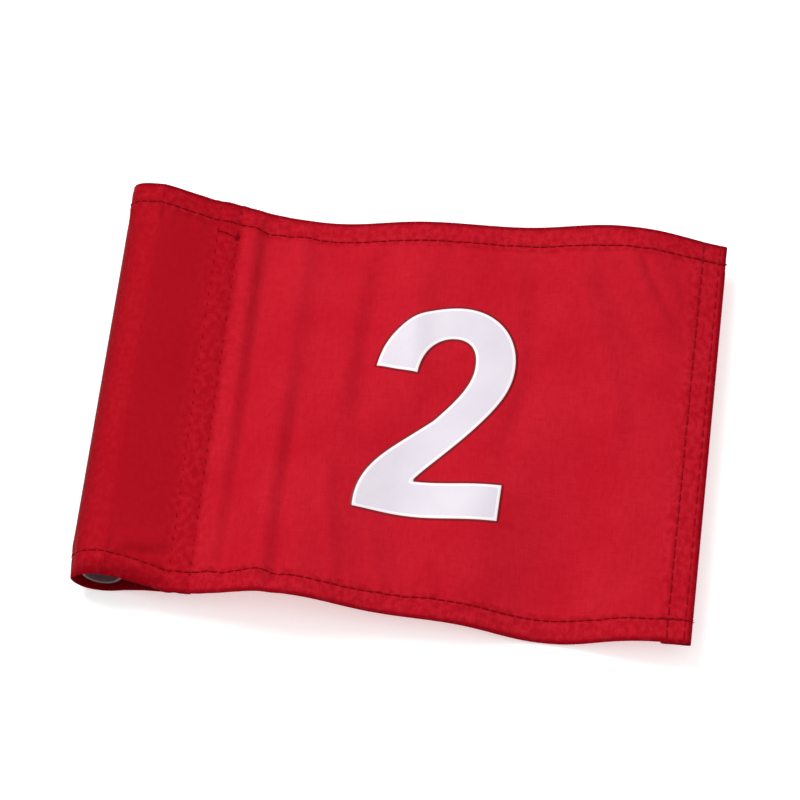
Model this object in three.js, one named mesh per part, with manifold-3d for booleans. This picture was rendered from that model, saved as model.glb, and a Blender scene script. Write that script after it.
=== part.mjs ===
// A small golf pin flag with its pole sleeve and plastic insert tube, as it lies on a table.
// Millimetres. x runs from the sleeve's closed edge to the fly edge, y from the flag's bottom edge
// to its top edge, z up out of the table. The last lines move the origin to the middle of the base.
import * as THREE from "three";
import { mergeVertices } from "three/addons/utils/BufferGeometryUtils.js";
import Module from "manifold-3d";

const wasm = await Module();
wasm.setup();

// ---- Driving dimensions ----------------------------------------------------------------------
const FLAG_LENGTH = 203.2; // sleeve edge to fly edge, 8 in
const FLAG_HEIGHT = 152.4; // bottom edge to top edge, 6 in
const CLOTH = 0.3; // thickness of one ply
const GAP = 0.1; // clearance between plies

const TUBE_OUTER_RADIUS = 7;
const TUBE_INNER_RADIUS = 6;
const TUBE_BOTTOM_RECESS = 2.1; // the tube's ends sit this far inside the sleeve's mouths
const TUBE_TOP_RECESS = 3.5;
const TUBE_SIDES = 32;

const AXIS_X = 10.8; // the tube's axis, parallel to y
const LOOP_HALF_HEIGHT = 7.9; // the sleeve touches the table, so this is also the axis height
const AXIS_Z = LOOP_HALF_HEIGHT;
const MOUTH_SKEW = 3.1; // the sleeve's bottom mouth is pulled in by this much

const HEM = 7.6; // edge to hem stitching, top and bottom
const FLY_HEM = 8; // fly edge to the inner row of hem stitching
const FLY_ROW = 2.4; // fly edge to the outer row
const SEAM_ROW_BOTTOM = 32.6; // inner seam row, at the bottom edge
const SEAM_ROW_TOP = 30.4; // and at the top edge
const SEAM_WIDTH = 6.9; // inner row to outer row
const SEAM_LEAD = 1.2; // the plies meet this far before the inner row
const FOLD_X = 42; // the panel folds here, just past the seam
const FOLD_GAP = 1.2; // clearance on each side of the fold
const CORNER_GAP = 0.3; // clearance between the fly hem and the hems it meets
const TACK_DROP = 4.2; // the cross tack lies this far below the top hem row

const THREAD = 0.3; // thread width and height
const THREAD_LIFT = 0.05; // clearance under a thread or a numeral
const TAIL_RADIUS = 0.35; // trimmed thread ends at the fly edge
const NUMERAL_THICKNESS = 0.15;
const NUMERAL_CENTRE_X = 113;
const NUMERAL_X_SPAN = [84, 142]; // the slab that a numeral is cut from
const NUMERAL_Y_SPAN = [20, 130];

const RED = 0xb4101f;
const THREAD_RED = 0x6e0a14;
const OFF_WHITE = 0xe4e1ea;
const PLASTIC = 0xcfc9c4;

// ---- The waves of the cloth ------------------------------------------------------------------
const REST_HEIGHT = 9.2; // height of the cloth where it lies level
const WAVE_POWER = 2.4;

function smoothStep(from, to, x) {
  const t = THREE.MathUtils.clamp((x - from) / (to - from), 0, 1);
  return t * t * (3 - 2 * t);
}

// A rounded hill (or hollow, if height is negative), with its own half-width on each side.
function hill(x, centre, height, widthBefore, widthAfter) {
  const width = x < centre ? widthBefore : widthAfter;
  return height * Math.exp(-(Math.abs((x - centre) / width) ** WAVE_POWER));
}

function topEdgeHeight(x) {
  return REST_HEIGHT + hill(x, 64.5, -8.5, 26, 26) + hill(x, 169.5, 8.4, 25, 25);
}

function bottomEdgeHeight(x) {
  const lift = 1.5 * smoothStep(168, FLAG_LENGTH, x);
  return REST_HEIGHT + hill(x, 68, 8.2, 20, 24) + hill(x, 156.5, -8.5, 21.5, 19) + lift;
}

// Height of the cloth's middle surface. It is straight along y, so every line x = constant is ruled.
function clothHeight(x, y) {
  return THREE.MathUtils.lerp(bottomEdgeHeight(x), topEdgeHeight(x), y / FLAG_HEIGHT);
}

function seamRow(y) {
  return THREE.MathUtils.lerp(SEAM_ROW_BOTTOM, SEAM_ROW_TOP, y / FLAG_HEIGHT);
}

// The sleeve's bottom mouth curves inwards; share runs from 0 there to 1 at the flag's top edge.
function sleeveY(x, share) {
  const mouth = MOUTH_SKEW * (1 - smoothStep(16, 36, x));
  return THREE.MathUtils.lerp(mouth, FLAG_HEIGHT, share);
}

// ---- Geometry helpers ------------------------------------------------------------------------
function outward(geometry) {
  const p = geometry.attributes.position;
  const index = geometry.index.array;
  const [a, b, c] = [new THREE.Vector3(), new THREE.Vector3(), new THREE.Vector3()];
  let volume = 0;
  for (let i = 0; i < index.length; i += 3) {
    a.fromBufferAttribute(p, index[i]);
    b.fromBufferAttribute(p, index[i + 1]);
    c.fromBufferAttribute(p, index[i + 2]);
    volume += a.dot(b.cross(c));
  }
  if (volume < 0) {
    for (let i = 0; i < index.length; i += 3) {
      [index[i + 1], index[i + 2]] = [index[i + 2], index[i + 1]];
    }
  }
  return geometry;
}

function closedGeometry(points, triangles) {
  const geometry = new THREE.BufferGeometry().setFromPoints(points);
  geometry.setIndex(triangles);
  return outward(geometry);
}

// Rings of equal point count joined into a skin, its two ends closed. flatten gives the plane
// coordinates of a ring's point, for filling the end caps.
function loft(rings, flatten) {
  const count = rings[0].length;
  const triangles = [];
  for (let r = 0; r < rings.length - 1; r++) {
    for (let i = 0; i < count; i++) {
      const a = r * count + i;
      const b = r * count + ((i + 1) % count);
      triangles.push(a, b, a + count, b, b + count, a + count);
    }
  }
  const caps = THREE.ShapeUtils.triangulateShape(rings[0].map(flatten), []);
  const last = (rings.length - 1) * count;
  for (const [a, b, c] of caps) {
    triangles.push(a, c, b, last + a, last + b, last + c);
  }
  return closedGeometry(rings.flat(), triangles);
}

// A closed slab over the grid xs by ys, between the heights lower(x, y) and upper(x, y).
function slab(xs, ys, lower, upper) {
  const points = [];
  for (const height of [lower, upper]) {
    for (const x of xs) {
      for (const y of ys) points.push(new THREE.Vector3(x, y, height(x, y)));
    }
  }
  const layer = xs.length * ys.length;
  const at = (i, j) => i * ys.length + j;
  const triangles = [];
  const quad = (a, b, c, d) => triangles.push(a, b, c, a, c, d);
  for (let i = 0; i < xs.length - 1; i++) {
    for (let j = 0; j < ys.length - 1; j++) {
      const [a, b, c, d] = [at(i, j), at(i + 1, j), at(i + 1, j + 1), at(i, j + 1)];
      triangles.push(a, c, b, a, d, c);
      quad(layer + a, layer + b, layer + c, layer + d);
    }
  }
  for (let i = 0; i < xs.length - 1; i++) {
    quad(at(i, 0), at(i + 1, 0), layer + at(i + 1, 0), layer + at(i, 0));
    const j = ys.length - 1;
    quad(at(i + 1, j), at(i, j), layer + at(i, j), layer + at(i + 1, j));
  }
  for (let j = 0; j < ys.length - 1; j++) {
    quad(at(0, j + 1), at(0, j), layer + at(0, j), layer + at(0, j + 1));
    const i = xs.length - 1;
    quad(at(i, j), at(i, j + 1), layer + at(i, j + 1), layer + at(i, j));
  }
  return closedGeometry(points, triangles);
}

// A square thread along the path, whose direction stays across `side`.
function thread(path, side) {
  const half = THREAD / 2;
  const rings = path.map((centre, i) => {
    const ahead = path[Math.min(i + 1, path.length - 1)];
    const behind = path[Math.max(i - 1, 0)];
    const along = new THREE.Vector3().subVectors(ahead, behind).normalize();
    const up = new THREE.Vector3().crossVectors(along, side).normalize();
    return [[-1, -1], [1, -1], [1, 1], [-1, 1]].map(([s, u]) =>
      centre.clone().addScaledVector(side, s * half).addScaledVector(up, u * half)
    );
  });
  const corners = [[-1, -1], [1, -1], [1, 1], [-1, 1]].map(([s, u]) => new THREE.Vector2(s, u));
  let corner = 0;
  return loft(rings, () => corners[corner++]);
}

function toSolid(geometry) {
  const bare = geometry.clone();
  bare.deleteAttribute("normal");
  bare.deleteAttribute("uv");
  const merged = mergeVertices(bare, 1e-4);
  return new wasm.Manifold(
    new wasm.Mesh({
      numProp: 3,
      vertProperties: new Float32Array(merged.attributes.position.array),
      triVerts: new Uint32Array(merged.index.array),
    })
  );
}

function fromSolid(solid) {
  const made = solid.getMesh();
  const geometry = new THREE.BufferGeometry();
  geometry.setAttribute("position", new THREE.BufferAttribute(made.vertProperties, 3));
  geometry.setIndex(new THREE.BufferAttribute(made.triVerts, 1));
  return geometry;
}

// ---- Materials and the scene -----------------------------------------------------------------
const cloth = new THREE.MeshStandardMaterial({ color: RED, roughness: 0.55, metalness: 0 });
const sewing = new THREE.MeshStandardMaterial({ color: THREAD_RED, roughness: 0.7, metalness: 0 });
const print = new THREE.MeshStandardMaterial({ color: OFF_WHITE, roughness: 0.45, metalness: 0 });
const plastic = new THREE.MeshStandardMaterial({ color: PLASTIC, roughness: 0.4, metalness: 0 });

const flag = new THREE.Group();

function add(name, geometry, material) {
  const mesh = new THREE.Mesh(geometry, material);
  mesh.name = name;
  flag.add(mesh);
}

// ---- Insert tube -----------------------------------------------------------------------------
const TUBE_START = MOUTH_SKEW + TUBE_BOTTOM_RECESS;
const TUBE_END = FLAG_HEIGHT - TUBE_TOP_RECESS;

function insertTube() {
  const length = TUBE_END - TUBE_START;
  const profile = [
    new THREE.Vector2(TUBE_INNER_RADIUS, -length / 2),
    new THREE.Vector2(TUBE_OUTER_RADIUS, -length / 2),
    new THREE.Vector2(TUBE_OUTER_RADIUS, length / 2),
    new THREE.Vector2(TUBE_INNER_RADIUS, length / 2),
    new THREE.Vector2(TUBE_INNER_RADIUS, -length / 2),
  ];
  const geometry = new THREE.LatheGeometry(profile, TUBE_SIDES);
  return geometry.translate(AXIS_X, (TUBE_START + TUBE_END) / 2, AXIS_Z);
}

add("insert_tube", insertTube(), plastic);

// ---- Sleeve ----------------------------------------------------------------------------------
const LOOP_STEPS = 8; // points along each shoulder and each quarter of the closed edge
const SHOULDER = 6.7; // how far the loop's crown runs level before it falls to the seam
const TAPER = 7; // and how far before the seam it straightens out
const TAPER_RISE = 1.7;
const HEM_SHARE = HEM / FLAG_HEIGHT;
const SLEEVE_STATIONS = [0, HEM_SHARE, 0.16, 0.3, 0.44, 0.58, 0.72, 0.84, 1 - HEM_SHARE, 1];
const TIP_PULL = 5; // a layer inside the loop ends this many times its inset before the seam

// The upper half of the loop's section, from the seam over the crown to the closed edge. inset
// moves it inwards, and sign -1 gives the lower half.
function loopHalf(share, inset, sign) {
  const seamX = seamRow(share * FLAG_HEIGHT) - SEAM_LEAD - TIP_PULL * Math.max(inset, 0);
  const halfTip = Math.max(CLOTH + GAP / 2 - inset, GAP / 2);
  const seamZ = clothHeight(seamX, share * FLAG_HEIGHT) + sign * halfTip;
  const crownZ = AXIS_Z + sign * (LOOP_HALF_HEIGHT - inset);
  const shoulder = new THREE.CubicBezierCurve(
    new THREE.Vector2(seamX, seamZ),
    new THREE.Vector2(seamX - TAPER, seamZ + sign * TAPER_RISE),
    new THREE.Vector2(AXIS_X + SHOULDER, crownZ),
    new THREE.Vector2(AXIS_X, crownZ)
  );
  const points = shoulder.getPoints(LOOP_STEPS);
  for (let i = 1; i <= LOOP_STEPS; i++) {
    const angle = (i / LOOP_STEPS) * (Math.PI / 2);
    const x = AXIS_X - (AXIS_X - inset) * Math.sin(angle);
    const z = AXIS_Z + sign * (LOOP_HALF_HEIGHT - inset) * Math.cos(angle);
    points.push(new THREE.Vector2(x, z));
  }
  return points;
}

function inSleeve(points, share) {
  return points.map((p) => new THREE.Vector3(p.x, sleeveY(p.x, share), p.y));
}

function loopRing(share, inset) {
  const upper = loopHalf(share, inset, 1);
  const lower = loopHalf(share, inset, -1).slice(0, -1).reverse();
  return inSleeve([...upper, ...lower], share);
}

// The two plies past the seam, from the fold back to where they meet.
function seamFlap(share, sign, lift = 0) {
  const y = share * FLAG_HEIGHT;
  const xs = [FOLD_X - FOLD_GAP, seamRow(y) + SEAM_WIDTH, seamRow(y)];
  return xs.map((x) => new THREE.Vector2(x, clothHeight(x, y) + sign * (CLOTH + GAP / 2 + lift)));
}

function sleeveRing(share) {
  const upper = [...seamFlap(share, 1), ...loopHalf(share, 0, 1)];
  const lower = [...seamFlap(share, -1), ...loopHalf(share, 0, -1).slice(0, -1)].reverse();
  return inSleeve([...upper, ...lower], share);
}

const acrossY = (p) => new THREE.Vector2(p.x, p.z);

function loopSolid(stations, inset) {
  return toSolid(loft(stations.map((share) => loopRing(share, inset)), acrossY));
}

function sleeve() {
  const outside = toSolid(loft(SLEEVE_STATIONS.map(sleeveRing), acrossY));
  const past = [-HEM_SHARE, ...SLEEVE_STATIONS, 1 + HEM_SHARE];
  return fromSolid(outside.subtract(loopSolid(past, CLOTH)));
}

// A hem turned into the sleeve's mouth, from share `from` to share `to`.
function sleeveHem(from, to) {
  const outside = loopSolid([from, to], CLOTH + GAP);
  const inside = loopSolid([2 * from - to, from, to, 2 * to - from], 2 * CLOTH + GAP);
  return fromSolid(outside.subtract(inside));
}

add("sleeve", sleeve(), cloth);
add("sleeve_bottom_hem", sleeveHem(0, HEM_SHARE), cloth);
add("sleeve_top_hem", sleeveHem(1 - HEM_SHARE, 1), cloth);

// ---- Sleeve stitching ------------------------------------------------------------------------
const ALONG_Y = new THREE.Vector3(0, 1, 0);
const ALONG_X = new THREE.Vector3(1, 0, 0);
const LIFT = THREAD_LIFT + THREAD / 2; // a thread's centre above the cloth

// A hem row over the sleeve's upper side, from the fold to the closed edge.
function sleeveHemRow(share) {
  const path = [...seamFlap(share, 1, LIFT), ...loopHalf(share, -LIFT, 1)];
  return thread(inSleeve(path, share), ALONG_Y);
}

// A seam row along the sleeve, offset from the inner row.
function seamRowThread(offset) {
  const clear = 2 * THREAD / FLAG_HEIGHT; // it stops short of the hem rows
  const inner = SLEEVE_STATIONS.slice(2, -2);
  const shares = [HEM_SHARE + clear, ...inner, 1 - HEM_SHARE - clear];
  const path = shares.map((share) => {
    const y = share * FLAG_HEIGHT;
    const x = seamRow(y) + offset;
    return new THREE.Vector3(x, sleeveY(x, share), clothHeight(x, y) + CLOTH + GAP / 2 + LIFT);
  });
  return thread(path, ALONG_X);
}

function seamTack() {
  const y = FLAG_HEIGHT - HEM - TACK_DROP;
  const [from, to] = [seamRow(y) + 2 * THREAD, seamRow(y) + SEAM_WIDTH - 2 * THREAD];
  const path = [from, to].map(
    (x) => new THREE.Vector3(x, y, clothHeight(x, y) + CLOTH + GAP / 2 + LIFT)
  );
  return thread(path, ALONG_Y);
}

add("sleeve_bottom_stitch", sleeveHemRow(HEM_SHARE), sewing);
add("sleeve_top_stitch", sleeveHemRow(1 - HEM_SHARE), sewing);
add("seam_stitch_inner", seamRowThread(0), sewing);
add("seam_stitch_outer", seamRowThread(SEAM_WIDTH), sewing);
add("seam_tack", seamTack(), sewing);

// ---- Panel and its hems ----------------------------------------------------------------------
const PANEL_START = FOLD_X + FOLD_GAP;
const INNER_FLY = FLAG_LENGTH - FLY_HEM;
const OUTER_FLY = FLAG_LENGTH - FLY_ROW;
const X_STEPS = 36;
const Y_STEPS = 8;

function spread(from, to, steps) {
  return Array.from({ length: steps + 1 }, (_, i) => THREE.MathUtils.lerp(from, to, i / steps));
}

const panelXs = [...spread(PANEL_START, INNER_FLY, X_STEPS), OUTER_FLY, FLAG_LENGTH];
const middleYs = spread(HEM, FLAG_HEIGHT - HEM, Y_STEPS);
const panelYs = [0, ...middleYs, FLAG_HEIGHT];

// A layer parallel to the cloth, between two distances from its middle surface.
function layer(xs, ys, below, above) {
  const offset = (distance) => (x, y) => clothHeight(x, y) + distance;
  return slab(xs, ys, offset(below), offset(above));
}

const UNDER = -CLOTH / 2 - GAP; // top of a hem turned to the underside
const flyXs = panelXs.slice(-3);
const flyYs = [HEM + CORNER_GAP, ...middleYs.slice(1, -1), FLAG_HEIGHT - HEM - CORNER_GAP];

add("panel", layer(panelXs, panelYs, -CLOTH / 2, CLOTH / 2), cloth);
add("top_hem", layer(panelXs, panelYs.slice(-2), UNDER - CLOTH, UNDER), cloth);
add("bottom_hem", layer(panelXs, panelYs.slice(0, 2), UNDER - CLOTH, UNDER), cloth);
add("fly_hem", layer(flyXs, flyYs, UNDER - CLOTH, UNDER), cloth);

// ---- Panel stitching -------------------------------------------------------------------------
function onPanel(x, y) {
  return new THREE.Vector3(x, y, clothHeight(x, y) + CLOTH / 2 + LIFT);
}

function hemRow(y) {
  return thread(panelXs.map((x) => onPanel(x, y)), ALONG_Y);
}

function flyRow(x) {
  return thread(flyYs.map((y) => onPanel(x, y)), ALONG_X);
}

function threadTail(y) {
  const ball = new THREE.OctahedronGeometry(TAIL_RADIUS, 1);
  const x = FLAG_LENGTH + GAP + TAIL_RADIUS;
  return ball.translate(x, y, clothHeight(FLAG_LENGTH, y) + CLOTH / 2);
}

add("top_hem_stitch", hemRow(FLAG_HEIGHT - HEM), sewing);
add("bottom_hem_stitch", hemRow(HEM), sewing);
add("fly_hem_stitch_inner", flyRow(INNER_FLY), sewing);
add("fly_hem_stitch_outer", flyRow(OUTER_FLY), sewing);
add("thread_tail_top", threadTail(FLAG_HEIGHT - HEM), sewing);
add("thread_tail_bottom", threadTail(HEM), sewing);

// ---- Numerals --------------------------------------------------------------------------------
// The outline of the numeral 2: a flat foot, a bowl of two arcs and a diagonal that joins them.
function numeralShape() {
  const shape = new THREE.Shape();
  shape.moveTo(89, 38);
  shape.lineTo(136.6, 38);
  shape.lineTo(136.6, 52);
  shape.lineTo(107.5, 52);
  shape.bezierCurveTo(112, 58, 120, 64, 127.5, 74.5);
  shape.bezierCurveTo(134, 83.5, 137.1, 90, 137.1, 98);
  shape.bezierCurveTo(137.1, 110.5, 128.5, 119.2, 115.5, 119.2);
  shape.bezierCurveTo(101.5, 119.2, 92.5, 110.5, 90.6, 93.3);
  shape.lineTo(104.2, 91.8);
  shape.bezierCurveTo(105, 101.5, 109, 106.4, 114.7, 106.4);
  shape.bezierCurveTo(120, 106.4, 123.3, 103, 123.3, 97);
  shape.bezierCurveTo(123.3, 90, 119.5, 84.5, 110.3, 74);
  shape.bezierCurveTo(100, 64, 89.8, 55.5, 89, 38);
  return shape;
}

// The numeral as a thin slab on one side of the cloth. mirrored turns it to read from behind.
function numeral(below, above, mirrored) {
  const height = 3 * REST_HEIGHT;
  const stamp = new THREE.ExtrudeGeometry(numeralShape(), {
    depth: height,
    curveSegments: 6,
    bevelEnabled: false,
  });
  if (mirrored) {
    stamp.translate(-NUMERAL_CENTRE_X, 0, -height);
    stamp.rotateY(Math.PI);
    stamp.translate(NUMERAL_CENTRE_X, 0, 0);
  }
  const within = ([from, to]) => (v) => v > from && v < to;
  const xs = panelXs.filter(within(NUMERAL_X_SPAN));
  const ys = middleYs.filter(within(NUMERAL_Y_SPAN));
  return fromSolid(toSolid(layer(xs, ys, below, above)).intersect(toSolid(stamp)));
}

const PRINT_LOW = CLOTH / 2 + THREAD_LIFT;
const PRINT_HIGH = PRINT_LOW + NUMERAL_THICKNESS;

add("numeral_front", numeral(PRINT_LOW, PRINT_HIGH, false), print);
add("numeral_back", numeral(-PRINT_HIGH, -PRINT_LOW, true), print);

// ---- The origin is the middle of the base ----------------------------------------------------
const size = new THREE.Box3().setFromObject(flag);
flag.position.set(-(size.min.x + size.max.x) / 2, -(size.min.y + size.max.y) / 2, -size.min.z);

export default flag;
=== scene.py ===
import math

import bpy
import numpy as np
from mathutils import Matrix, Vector
from mathutils.geometry import delaunay_2d_cdt


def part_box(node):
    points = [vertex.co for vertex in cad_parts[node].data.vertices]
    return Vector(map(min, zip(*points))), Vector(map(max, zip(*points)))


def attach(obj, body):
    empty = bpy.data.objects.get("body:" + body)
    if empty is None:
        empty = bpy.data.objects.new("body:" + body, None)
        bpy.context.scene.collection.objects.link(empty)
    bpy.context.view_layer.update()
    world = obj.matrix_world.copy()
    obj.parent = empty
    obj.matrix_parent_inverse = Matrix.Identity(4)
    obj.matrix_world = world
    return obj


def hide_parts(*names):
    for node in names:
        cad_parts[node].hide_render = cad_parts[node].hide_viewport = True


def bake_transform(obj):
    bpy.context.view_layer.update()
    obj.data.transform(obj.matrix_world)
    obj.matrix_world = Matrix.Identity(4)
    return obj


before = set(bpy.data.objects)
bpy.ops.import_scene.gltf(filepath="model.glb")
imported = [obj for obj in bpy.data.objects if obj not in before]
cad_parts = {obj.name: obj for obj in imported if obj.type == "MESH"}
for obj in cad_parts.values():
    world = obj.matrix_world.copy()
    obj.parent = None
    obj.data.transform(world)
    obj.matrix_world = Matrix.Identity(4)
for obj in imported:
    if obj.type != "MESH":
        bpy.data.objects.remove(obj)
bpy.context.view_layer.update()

# A small golf pin flag: one strip of woven nylon, hemmed all round, whose end is wrapped round a plastic
# tube and sewn down as the pole sleeve. Lengths here are millimetres in the flag's own coordinates: x runs
# from the sleeve's closed edge to the fly edge, y up the flag and z above the surface that it lies on.
# place() turns them into metres in the frame of the CAD model.

# ---- Sizes ----
FLAG_LENGTH = 203.2
FLAG_HEIGHT = 152.4
MM = 0.001

PLY = 0.16  # thickness of the nylon
PITCH = 0.2  # from ply to ply where they lie on each other
HEM = 7.6  # stitch row to folded edge
HEM_TURN = 8.9  # depth of the turned hem
FLY_HEM = 8.0
FLY_TURN = 9.3
FLY_ROW = 2.4  # outer fly row to the edge

AXIS_X = 10.8  # the tube lies here inside the sleeve
AXIS_Z = 7.9
LOOP_HALF_HEIGHT = 7.9
TUBE_RADIUS = 7.0
TUBE_BORE = 6.0
MOUTH_SKEW = 3.1

SEAM_ROW_BOTTOM = 32.6
SEAM_ROW_TOP = 30.4
SEAM_WIDTH = 6.9
SEAM_LEAD = 1.2
SEAM_TAIL = 1.3  # the turned end of the strip reaches this far past the outer row
TACK_DROP = 4.2

THREAD_RADIUS = 0.23
HEM_STITCH = 2.9
SEAM_STITCH = 4.25
FLY_STITCH = 4.1
TACK_STITCH = 1.7

PANEL_LOW, PANEL_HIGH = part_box("panel")
X0 = PANEL_HIGH.x - FLAG_LENGTH * MM
Y0 = PANEL_LOW.y


def place(points):
    return np.asarray(points, float) * MM + np.array([X0, Y0, 0.0])


# ---- Camera ----
AZIMUTH = math.radians(6.585)
ELEVATION = math.radians(59.442)
DISTANCE = 1.5
LENS = 202.47
SHIFT_LEFT, SHIFT_UP = 0.0013, 0.008615  # from straight over the flag's middle, seen by the camera


def add_camera():
    ca, sa = math.cos(AZIMUTH), math.sin(AZIMUTH)
    ce, se = math.cos(ELEVATION), math.sin(ELEVATION)
    back = Vector((sa * ce, -ca * ce, se))
    right = Vector((ca, sa, 0))
    up = back.cross(right)
    data = bpy.data.cameras.new("camera")
    data.lens = LENS
    data.sensor_width = 36
    data.clip_start, data.clip_end = 0.1, 20
    camera = bpy.data.objects.new("camera", data)
    bpy.context.scene.collection.objects.link(camera)
    middle = Vector(place([FLAG_LENGTH / 2, FLAG_HEIGHT / 2, 0]))
    camera.location = middle + back * DISTANCE - right * SHIFT_LEFT + up * SHIFT_UP
    camera.rotation_mode = "QUATERNION"
    camera.rotation_quaternion = (-back).to_track_quat("-Z", "Y")
    bpy.context.scene.camera = camera


add_camera()


# ---- The shape of the cloth ----
REST_HEIGHT = 9.2
WAVE_POWER = 2.4
FLY_LIFT = 1.5  # rise of the bottom edge towards the fly


def smooth(start, end, x):
    t = np.clip((np.asarray(x, float) - start) / (end - start), 0, 1)
    return t * t * (3 - 2 * t)


def lerp(a, b, t):
    return a + (b - a) * t


def hill(x, centre, height, before, after):
    width = np.where(x < centre, before, after)
    return height * np.exp(-(np.abs((x - centre) / width) ** WAVE_POWER))


def mound(x, y, centre_x, centre_y, width_x, width_y, height):
    return height * np.exp(-(((x - centre_x) / width_x) ** 2) - ((y - centre_y) / width_y) ** 2)


def cloth_height(x, y):
    """Height of the panel's middle surface."""
    top = REST_HEIGHT + hill(x, 64.5, -8.5, 26, 26) + hill(x, 169.5, 8.4, 25, 25)
    bottom = REST_HEIGHT + hill(x, 68, 8.2, 20, 24) + hill(x, 156.5, -8.5, 21.5, 19)
    bottom = bottom + FLY_LIFT * smooth(168, FLAG_LENGTH, x)
    ruled = lerp(bottom, top, y / FLAG_HEIGHT)
    inside = smooth(0, 26, y) * smooth(FLAG_HEIGHT, FLAG_HEIGHT - 26, y)
    return ruled + inside * (mound(x, y, 106, 44, 16, 30, -2.6) + mound(x, y, 138, 46, 17, 30, 2.9))


def seam_row(y):
    return lerp(SEAM_ROW_BOTTOM, SEAM_ROW_TOP, y / FLAG_HEIGHT)


def edge_share(y, depth=HEM_TURN, fade=1.6):
    """1 where the top or bottom hem doubles the cloth and 0 inside it."""
    near = np.minimum(y, FLAG_HEIGHT - y)
    return 1 - smooth(depth, depth + fade, near)


def ply_gap(y):
    """Half the distance between the two outer plies where they're sewn together."""
    return 0.1 + 2 * PITCH * edge_share(y)


# The path along the strip is measured by s. It is x on the panel, falls to SEAM_S where the plies part, and
# goes on falling round the sleeve and along the underside to the strip's end.
SEAM_S = (SEAM_ROW_BOTTOM + SEAM_ROW_TOP) / 2 - SEAM_LEAD
SHOULDER_LENGTH = 21.0
QUARTER_LENGTH = 14.8
CROWN_S = SEAM_S - SHOULDER_LENGTH
EDGE_S = CROWN_S - QUARTER_LENGTH
UNDER_CROWN_S = EDGE_S - QUARTER_LENGTH
UNDER_SEAM_S = UNDER_CROWN_S - SHOULDER_LENGTH
END_S = UNDER_SEAM_S - SEAM_LEAD - SEAM_WIDTH - SEAM_TAIL
INSET = PLY / 2
LIP_DROOP = 1.7
SQUARE_OUT, SQUARE_UP = 1.2, 0.8


def bezier(points, t):
    p0, p1, p2, p3 = points
    q = 1 - t
    return q**3 * p0 + 3 * q * q * t * p1 + 3 * q * t * t * p2 + t**3 * p3


def shoulder(t, y, sign):
    seam_x = seam_row(y) - SEAM_LEAD
    seam_z = cloth_height(seam_x, y) + sign * ply_gap(y)
    crown_z = AXIS_Z + sign * (LOOP_HALF_HEIGHT - INSET)
    slope, handle = (2.3, 2.2) if sign > 0 else (1.7, 6.7)
    x = bezier((seam_x, seam_x - 7, AXIS_X + handle, AXIS_X), t)
    z = bezier((seam_z, seam_z + sign * slope, crown_z, crown_z), t)
    return x, z


def surface(s, y):
    """A point on the outer ply's middle surface, without wrinkles."""
    s, y = np.broadcast_arrays(np.asarray(s, float), np.asarray(y, float))
    shift = (seam_row(y) - (SEAM_ROW_BOTTOM + SEAM_ROW_TOP) / 2) * (1 - smooth(44, 62, s))
    x = s + shift
    under = x - (seam_row(y) + SEAM_WIDTH + SEAM_TAIL)
    z = cloth_height(x, y) + ply_gap(y) * (1 - smooth(-0.3, 2.5, under))

    t = np.clip((SEAM_S - s) / SHOULDER_LENGTH, 0, 1)
    sx, sz = shoulder(t, y, 1)
    x, z = np.where(s < SEAM_S, sx, x), np.where(s < SEAM_S, sz, z)

    angle = np.clip((CROWN_S - s) / QUARTER_LENGTH, 0, 2) * math.pi / 2
    ex = AXIS_X - (AXIS_X - INSET) * np.sin(angle)
    ez = AXIS_Z + (LOOP_HALF_HEIGHT - INSET) * np.cos(angle)
    # The sleeve's top end stands out squarer than the rest of it.
    square = smooth(122, 150, y) * np.sin(2 * angle) ** 2 * (angle < math.pi / 2)
    ex, ez = ex - SQUARE_OUT * square, ez + SQUARE_UP * square
    x, z = np.where(s < CROWN_S, ex, x), np.where(s < CROWN_S, ez, z)

    t = 1 - np.clip((UNDER_CROWN_S - s) / SHOULDER_LENGTH, 0, 1)
    sx, sz = shoulder(t, y, -1)
    x, z = np.where(s < UNDER_CROWN_S, sx, x), np.where(s < UNDER_CROWN_S, sz, z)

    flap_x = seam_row(y) - SEAM_LEAD + (UNDER_SEAM_S - s)
    flap_z = cloth_height(flap_x, y) - ply_gap(y)
    x, z = np.where(s < UNDER_SEAM_S, flap_x, x), np.where(s < UNDER_SEAM_S, flap_z, z)

    mouth = MOUTH_SKEW * (1 - smooth(16, 36, x)) * (1 - 0.45 * np.clip(z / (2 * LOOP_HALF_HEIGHT), 0, 1))
    # Past the tube's end the sleeve isn't held open, so its lip droops and rolls in.
    lip = np.clip(1 - y / 5.5, 0, 1) ** 2 * (1 - smooth(20, 34, x)) * smooth(AXIS_Z - 2, AXIS_Z + 5, z)
    z = z - LIP_DROOP * lip
    x = x + 0.9 * (1 - smooth(0, 14, y)) * (1 - smooth(0, 8, x)) * (s < CROWN_S + 8)
    return np.stack([x, y + mouth * (1 - y / FLAG_HEIGHT), z], -1)


def unit(v):
    return v / np.maximum(np.linalg.norm(v, axis=-1, keepdims=True), 1e-12)


def outward(s, y):
    along = surface(s + 0.25, y) - surface(s - 0.25, y)
    across = surface(s, y + 0.25) - surface(s, y - 0.25)
    return unit(np.cross(along, across))


# ---- Wrinkles ----
def to_line(x, y, points):
    """Distance to a polyline, and how far along it the nearest point is, from 0 to 1."""
    best, share = np.full(np.shape(x), 1e9), np.zeros(np.shape(x))
    p = np.asarray(points, float)
    lengths = np.linalg.norm(np.diff(p, axis=0), axis=1)
    total, done = lengths.sum(), 0.0
    for a, b, length in zip(p[:-1], p[1:], lengths):
        dx, dy = (b - a) / length
        t = np.clip((x - a[0]) * dx + (y - a[1]) * dy, 0, length)
        ox, oy = x - a[0] - t * dx, y - a[1] - t * dy
        d = np.hypot(ox, oy)
        closer = d < best
        best = np.where(closer, d, best)
        share = np.where(closer, (done + t) / total, share)
        done += length
    return best, share


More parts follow.
